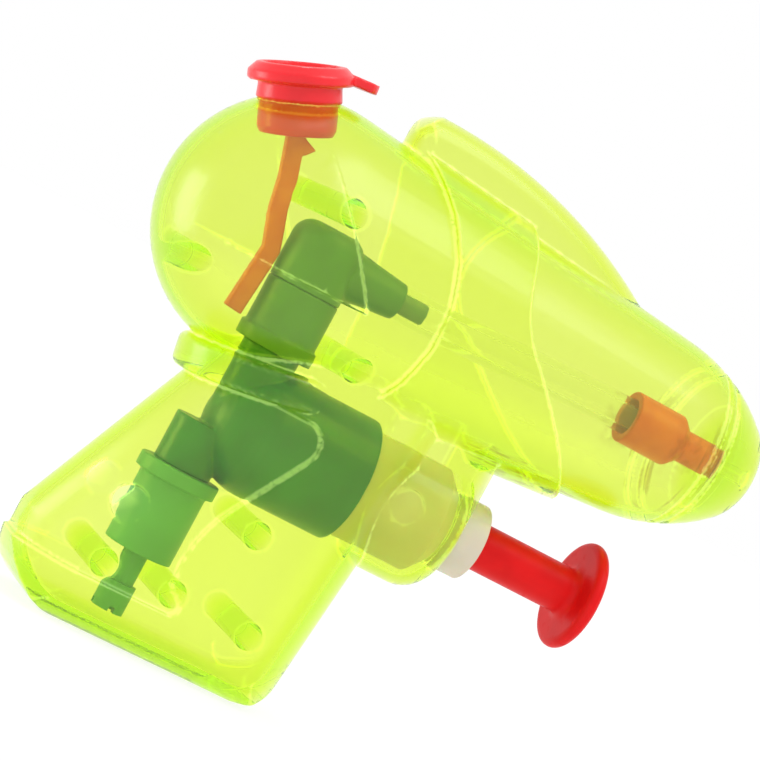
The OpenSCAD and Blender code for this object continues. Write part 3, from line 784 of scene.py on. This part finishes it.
@dataclass
class SoftCopy:
    """A copy of solids whose edges are rounded as a mould rounds them.

    Attributes:
        name: Name of the piece.
        nodes: Solids that the piece stands for.
        finish: Finish all over.
        body: Body that the piece rides on.
        voxel: Grid of the even mesh.
        smoothing: Passes that round the edges.
        most_triangles: Triangles past which the mesh is thinned.
    """

    EASE: ClassVar[float] = 0.5

    name: str
    nodes: Sequence[str]
    finish: Finish
    body: Body
    voxel: float
    smoothing: int
    most_triangles: int = 150_000

    def mesh(self) -> bmesh.types.BMesh:
        """Gives the solids' own faces."""
        return joined_copy(self.nodes)

    def mark(self, mesh: bpy.types.Mesh) -> None:
        """Stores values on the finished mesh that its finish reads."""

    def build(self) -> bpy.types.Object:
        """Builds the piece and sets it in the frame.

        Returns:
            The finished piece.
        """
        work = self.mesh()
        mesh = bpy.data.meshes.new(self.name)
        work.to_mesh(mesh)
        work.free()
        piece = link(mesh, self.name)
        remesh = piece.modifiers.new("even", "REMESH")
        remesh.mode = "VOXEL"
        remesh.voxel_size = self.voxel
        remesh.use_smooth_shade = True
        ease = piece.modifiers.new("ease", "SMOOTH")
        ease.factor = self.EASE
        ease.iterations = self.smoothing
        freeze(piece)
        triangles = 2 * len(piece.data.polygons)
        if triangles > self.most_triangles:
            thin = piece.modifiers.new("thin", "DECIMATE")
            thin.ratio = self.most_triangles / triangles
            freeze(piece)
            drop_crumbs(piece.data)
        self.mark(piece.data)
        dress(piece, self.finish)
        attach(piece, self.body.value)
        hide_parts(*self.nodes)
        LOG.info("%s: %d faces", self.name, len(piece.data.polygons))
        return piece


@dataclass
class ClearShell(SoftCopy):
    """Both half shells as one clear moulding, closed along their seam."""

    CALM_BEND: ClassVar[float] = 80.0
    SHARP_BEND: ClassVar[float] = 380.0

    name: str = "clear_shell"
    nodes: Sequence[str] = ("right_shell", "left_shell")
    finish: Finish = NEON
    body: Body = Body.SHELL
    voxel: float = 0.23 * MM
    smoothing: int = 3
    most_triangles: int = 190_000

    def mark(self, mesh: bpy.types.Mesh) -> None:
        """Marks the edges for the painted highlight, and the inner skin."""
        mark_edges(mesh, self.CALM_BEND, self.SHARP_BEND)
        mark_inner(mesh)

    def mesh(self) -> bmesh.types.BMesh:
        """Takes out the faces that meet on the seam, and the pins inside the posts.

        Returns:
            The shell's outer and inner faces.
        """
        on_seam = 0.001 * MM
        weld = 0.01 * MM
        work = joined_copy(self.nodes)
        inner = [f for f in work.faces if all(abs(v.co.y) < on_seam for v in f.verts)]
        bmesh.ops.delete(work, geom=inner, context="FACES")
        bmesh.ops.remove_doubles(work, verts=work.verts, dist=weld)
        keep_largest(work)
        return work


@dataclass
class DressedNodes:
    """Solids of the frame that keep their shape and get a finish."""

    finishes: Mapping[str, Finish]

    def build(self) -> None:
        """Gives each solid its finish."""
        for name, finish in self.finishes.items():
            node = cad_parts[name]
            dress(node, finish)
            LOG.info("%s: %s", name, finish.name)


@dataclass
class ReturnSpring:
    """Coiled wire behind the piston.

    Attributes:
        name: Name of the piece.
        node: Solid that the piece stands for.
        turns: Turns of the coil.
        wire: Thickness of the wire.
        steps_a_turn: Points along one turn.
        wire_sides: Points round the wire.
        keep: Share of the length that is left when the trigger is in; not used.
        finish: Finish of the wire.
    """

    SIZES: ClassVar[tuple[str, ...]] = ("Radius", "Length", "Turns", "Wire")

    name: str = "coil_spring"
    node: str = "return_spring"
    turns: float = 8.0
    wire: float = 0.8 * MM
    steps_a_turn: int = 36
    wire_sides: int = 12
    keep: float = 0.44
    finish: Finish = SPRING_STEEL

    def tree(self) -> bpy.types.NodeTree:
        """Builds the node tree that winds the wire.

        Returns:
            The tree, with named inputs for its sizes.
        """
        tree = bpy.data.node_groups.new("wind_spring", "GeometryNodeTree")
        face = tree.interface
        for label in self.SIZES:
            face.new_socket(label, in_out="INPUT", socket_type="NodeSocketFloat")
        face.new_socket("Geometry", in_out="OUTPUT", socket_type="NodeSocketGeometry")
        board = Board(tree)
        sizes = board.add("NodeGroupInput")
        size = {label: Signal(board, sizes.outputs[label]) for label in self.SIZES}
        coil = board.signal("GeometryNodeCurveSpiral", 0, None, {
            "Resolution": self.steps_a_turn, "Rotations": size["Turns"], "Start Radius": size["Radius"],
            "End Radius": size["Radius"], "Height": size["Length"],
        })
        ring = board.signal("GeometryNodeCurvePrimitiveCircle", 0, None, {
            "Resolution": self.wire_sides, "Radius": size["Wire"],
        })
        skin = board.signal("GeometryNodeCurveToMesh", 0, None, {
            "Curve": coil, "Profile Curve": ring, "Fill Caps": True,
        })
        smooth = board.signal("GeometryNodeSetShadeSmooth", 0, None, {"Geometry": skin})
        whole = board.signal("GeometryNodeRealizeInstances", 0, None, {0: smooth})
        done = board.signal("GeometryNodeSetMaterial", 0, None, {
            0: whole, "Material": self.finish.material(),
        })
        board.add("NodeGroupOutput", None, {0: done})
        return tree

    def build(self) -> bpy.types.Object:
        """Winds the spring where its solid lies.

        Returns:
            The finished piece.
        """
        low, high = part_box(self.node)
        centre = (low + high) / 2
        sizes = {
            "Radius": (high.z - low.z - self.wire) / 2, "Length": high.x - low.x - self.wire,
            "Turns": self.turns, "Wire": self.wire / 2,
        }
        tree = self.tree()
        piece = link(bpy.data.meshes.new(self.name), self.name)
        coil = piece.modifiers.new("wind", "NODES")
        coil.node_group = tree
        for item in tree.interface.items_tree:
            if item.in_out == "INPUT":
                coil[item.identifier] = sizes[item.name]
        freeze(piece)
        start = Vector((low.x + self.wire / 2, centre.y, centre.z))
        piece.data.transform(Matrix.Translation(start) @ Matrix.Rotation(math.pi / 2, 4, "Y"))
        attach(piece, Body.SHELL.value)
        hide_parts(self.node)
        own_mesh(piece)
        LOG.info("%s: %d faces", self.name, len(piece.data.polygons))
        return piece


@dataclass
class Viewpoint:
    """Camera of the photograph: a turn round the toy, a height and a roll."""

    azimuth: float = -19.275
    elevation: float = 1.025
    roll: float = 28.338
    distance: float = 406.10 * MM
    target: tuple[float, float, float] = (13.608 * MM, 0.0, 45.693 * MM)
    focal_pixels: float = 3100.7
    image_pixels: float = 760.0
    sensor_mm: float = 36.0
    nearest: float = 0.01
    furthest: float = 20.0

    def axes(self) -> tuple[Vector, Vector, Vector]:
        """Directions of the camera.

        Returns:
            Unit vectors to the right, up and back to the camera.
        """
        a, e, r = (math.radians(x) for x in (self.azimuth, self.elevation, self.roll))
        back = Vector((math.sin(a) * math.cos(e), -math.cos(a) * math.cos(e), math.sin(e)))
        level = Vector((math.cos(a), math.sin(a), 0.0))
        upright = back.cross(level)
        right = math.cos(r) * level + math.sin(r) * upright
        up = math.cos(r) * upright - math.sin(r) * level
        return right, up, back

    def build(self) -> bpy.types.Object:
        """Makes the camera the scene's own.

        Returns:
            The camera.
        """
        right, up, back = self.axes()
        data = bpy.data.cameras.new("photo_camera")
        data.sensor_width = self.sensor_mm
        data.lens = self.focal_pixels / self.image_pixels * self.sensor_mm
        data.clip_start = self.nearest
        data.clip_end = self.furthest
        camera = bpy.data.objects.new("photo_camera", data)
        turn = Matrix((right, up, back)).transposed().to_4x4()
        camera.matrix_world = Matrix.Translation(Vector(self.target) + self.distance * back) @ turn
        bpy.context.scene.collection.objects.link(camera)
        bpy.context.scene.camera = camera
        return camera


@dataclass(frozen=True)
class SoftBox:
    """Soft studio lamp, placed across, up and towards the camera from the toy."""

    name: str
    across: float
    up: float
    toward: float
    width: float
    height: float
    radiance: float

    def build(self, view: Viewpoint) -> bpy.types.Object:
        """Hangs the lamp and aims it at the toy.

        Args:
            view: Camera whose directions place the lamp.

        Returns:
            The lamp.
        """
        right, up, back = view.axes()
        data = bpy.data.lights.new(self.name, "AREA")
        data.shape = "RECTANGLE"
        data.size = self.width
        data.size_y = self.height
        data.energy = self.radiance * math.pi * self.width * self.height
        lamp = bpy.data.objects.new(self.name, data)
        offset = self.across * right + self.up * up + self.toward * back
        lamp.location = Vector(view.target) + offset
        lamp.rotation_euler = (-offset).to_track_quat("-Z", "Y").to_euler()
        lamp.visible_camera = False
        bpy.context.scene.collection.objects.link(lamp)
        return lamp


@dataclass
class Studio:
    """White surround, pale floor and soft lamps.

    Attributes:
        fill: Strength of the surround as light.
        floor_size: Length of the floor's sides.
        floor_drop: Gap between the floor and the foot.
        floor_pale: Main colour of the floor.
        floor_dim: Colour of the floor's mottling.
        floor_roughness: Roughness of the floor.
        mottle_scale: Mottles per metre.
        mottle_detail: Octaves of the mottling.
        mottle_span: Noise values between which the mottling eases in.
        shadow_share: Share of the shaded floor that is seen.
        whiteness: Strength of the white that is seen with it.
        boxes: The lamps.
    """

    WHITE: ClassVar[tuple[float, float, float, float]] = (1.0, 1.0, 1.0, 1.0)

    fill: float = 0.85
    floor_size: float = 6.0
    floor_drop: float = 0.2 * MM
    floor_pale: Colour = (0.92, 0.92, 0.92)
    floor_dim: Colour = (0.9, 0.9, 0.9)
    floor_roughness: float = 0.9
    mottle_scale: float = 3.0
    mottle_detail: float = 2.0
    mottle_span: Span = (0.3, 0.7)
    shadow_share: float = 0.25
    whiteness: float = 1.1
    boxes: Sequence[SoftBox] = (
        SoftBox(
            "window_left", across=-0.116, up=0.05, toward=0.011, width=0.046, height=0.066, radiance=4.0,
        ),
        SoftBox(
            "window_right", across=0.435, up=0.351, toward=0.186, width=0.36, height=0.36, radiance=2.9,
        ),
        SoftBox(
            "lamp_top", across=0.08, up=0.60, toward=-0.21, width=0.10, height=0.06, radiance=24.0,
        ),
    )

    @staticmethod
    def seen(board: Board) -> Signal:
        """Tells rays that see the background from rays that light the toy.

        Args:
            board: Tree to build in.

        Returns:
            1 for camera, mirror and glass rays.
        """
        path = board.add("ShaderNodeLightPath")
        rays = ("Is Camera Ray", "Is Glossy Ray", "Is Transmission Ray")
        camera, mirror, glass = (Signal(board, path.outputs[name]) for name in rays)
        return (camera + mirror + glass).ramp(0.0, 1.0)

    def surround(self) -> None:
        """Makes the world white to the eye and calmer as light."""
        world = bpy.data.worlds.new("white_surround")
        world.use_nodes = True
        bpy.context.scene.world = world
        board = Board(world.node_tree)
        lit = board.signal("ShaderNodeBackground", 0, None, {"Color": self.WHITE, "Strength": self.fill})
        shown = board.signal("ShaderNodeBackground", 0, None, {"Color": self.WHITE, "Strength": 1.0})
        mixed = board.signal("ShaderNodeMixShader", 0, None, {0: self.seen(board), 1: lit, 2: shown})
        board.add("ShaderNodeOutputWorld", None, {"Surface": mixed})

    def floor(self) -> bpy.types.Object:
        """Lays the pale floor under the foot.

        Returns:
            The floor.
        """
        half = self.floor_size / 2
        z = -self.floor_drop
        mesh = bpy.data.meshes.new("floor")
        corners = [(-half, -half, z), (half, -half, z), (half, half, z), (-half, half, z)]
        mesh.from_pydata(corners, [], [(0, 1, 2, 3)])
        paint = bpy.data.materials.new("pale_floor")
        paint.use_nodes = True
        board = Board(paint.node_tree)
        mottle = board.noise(self.mottle_scale, self.mottle_detail).ramp(*self.mottle_span)
        matt = board.signal("ShaderNodeBsdfPrincipled", 0, None, {
            "Base Color": board.blend(mottle, self.floor_pale, self.floor_dim),
            "Roughness": self.floor_roughness,
        })
        white = board.signal("ShaderNodeEmission", 0, None, {
            "Color": self.WHITE, "Strength": self.whiteness,
        })
        share = self.seen(board) * (1 - self.shadow_share)
        mixed = board.signal("ShaderNodeMixShader", 0, None, {0: share, 1: matt, 2: white})
        board.add("ShaderNodeOutputMaterial", None, {"Surface": mixed})
        mesh.materials.append(paint)
        floor = link(mesh, "floor")
        return floor

    def build(self, view: Viewpoint) -> None:
        """Sets up the surround, the floor and the lamps.

        Args:
            view: Camera whose directions place the lamps.
        """
        self.surround()
        self.floor()
        for box in self.boxes:
            box.build(view)
            LOG.info("lamp %s", box.name)
        bpy.context.scene.view_settings.view_transform = "Standard"


MOULDINGS = (
    ClearShell(),
    SoftCopy("stopper_cap", ["fill_cap"], CAP_RED, Body.STOPPER, voxel=0.2 * MM, smoothing=4),
    SoftCopy("push_plunger", ["trigger_plunger"], PLUNGER_RED, Body.TRIGGER, voxel=0.2 * MM, smoothing=3),
    SoftCopy("moulded_strap", ["cap_strap"], STRAP_RED, Body.STOPPER, voxel=0.14 * MM, smoothing=5),
    SoftCopy("moulded_pump", ["pump_body"], PUMP_GREEN, Body.SHELL, voxel=0.2 * MM, smoothing=3),
    SoftCopy("moulded_riser", ["outlet_riser"], RISER_GREEN, Body.SHELL, voxel=0.2 * MM, smoothing=3),
    SoftCopy("moulded_elbow", ["outlet_elbow"], RISER_GREEN, Body.SHELL, voxel=0.2 * MM, smoothing=3),
    SoftCopy("moulded_inlet", ["inlet_housing"], INLET_GREEN, Body.SHELL, voxel=0.2 * MM, smoothing=3),
    SoftCopy("moulded_nozzle", ["nozzle"], NOZZLE_ORANGE, Body.SHELL, voxel=0.15 * MM, smoothing=4),
    SoftCopy("drawn_hose", ["delivery_hose"], CLEAR_TUBE, Body.SHELL, voxel=0.15 * MM, smoothing=4),
    SoftCopy("suction_ball", ["inlet_ball"], VALVE_BALL, Body.INLET_VALVE, voxel=0.1 * MM, smoothing=2),
    SoftCopy("pressure_ball", ["outlet_ball"], VALVE_BALL, Body.OUTLET_VALVE, voxel=0.1 * MM, smoothing=2),
)
SHAPED_SOLIDS = DressedNodes({
    "piston_seal": SEAL_RUBBER,
    "pump_cylinder": NATURAL,
    "intake_tube": INLET_GREEN,
    "intake_strainer": INLET_GREEN,
})


def main() -> None:
    """Builds the studio, the toy's pieces and their finishes."""
    logging.basicConfig(level=logging.INFO, format="%(name)s %(message)s")
    view = Viewpoint()
    view.build()
    Studio().build(view)
    for moulding in MOULDINGS:
        moulding.build()
    ReturnSpring().build()
    SHAPED_SOLIDS.build()


if __name__ == "__main__":
    main()
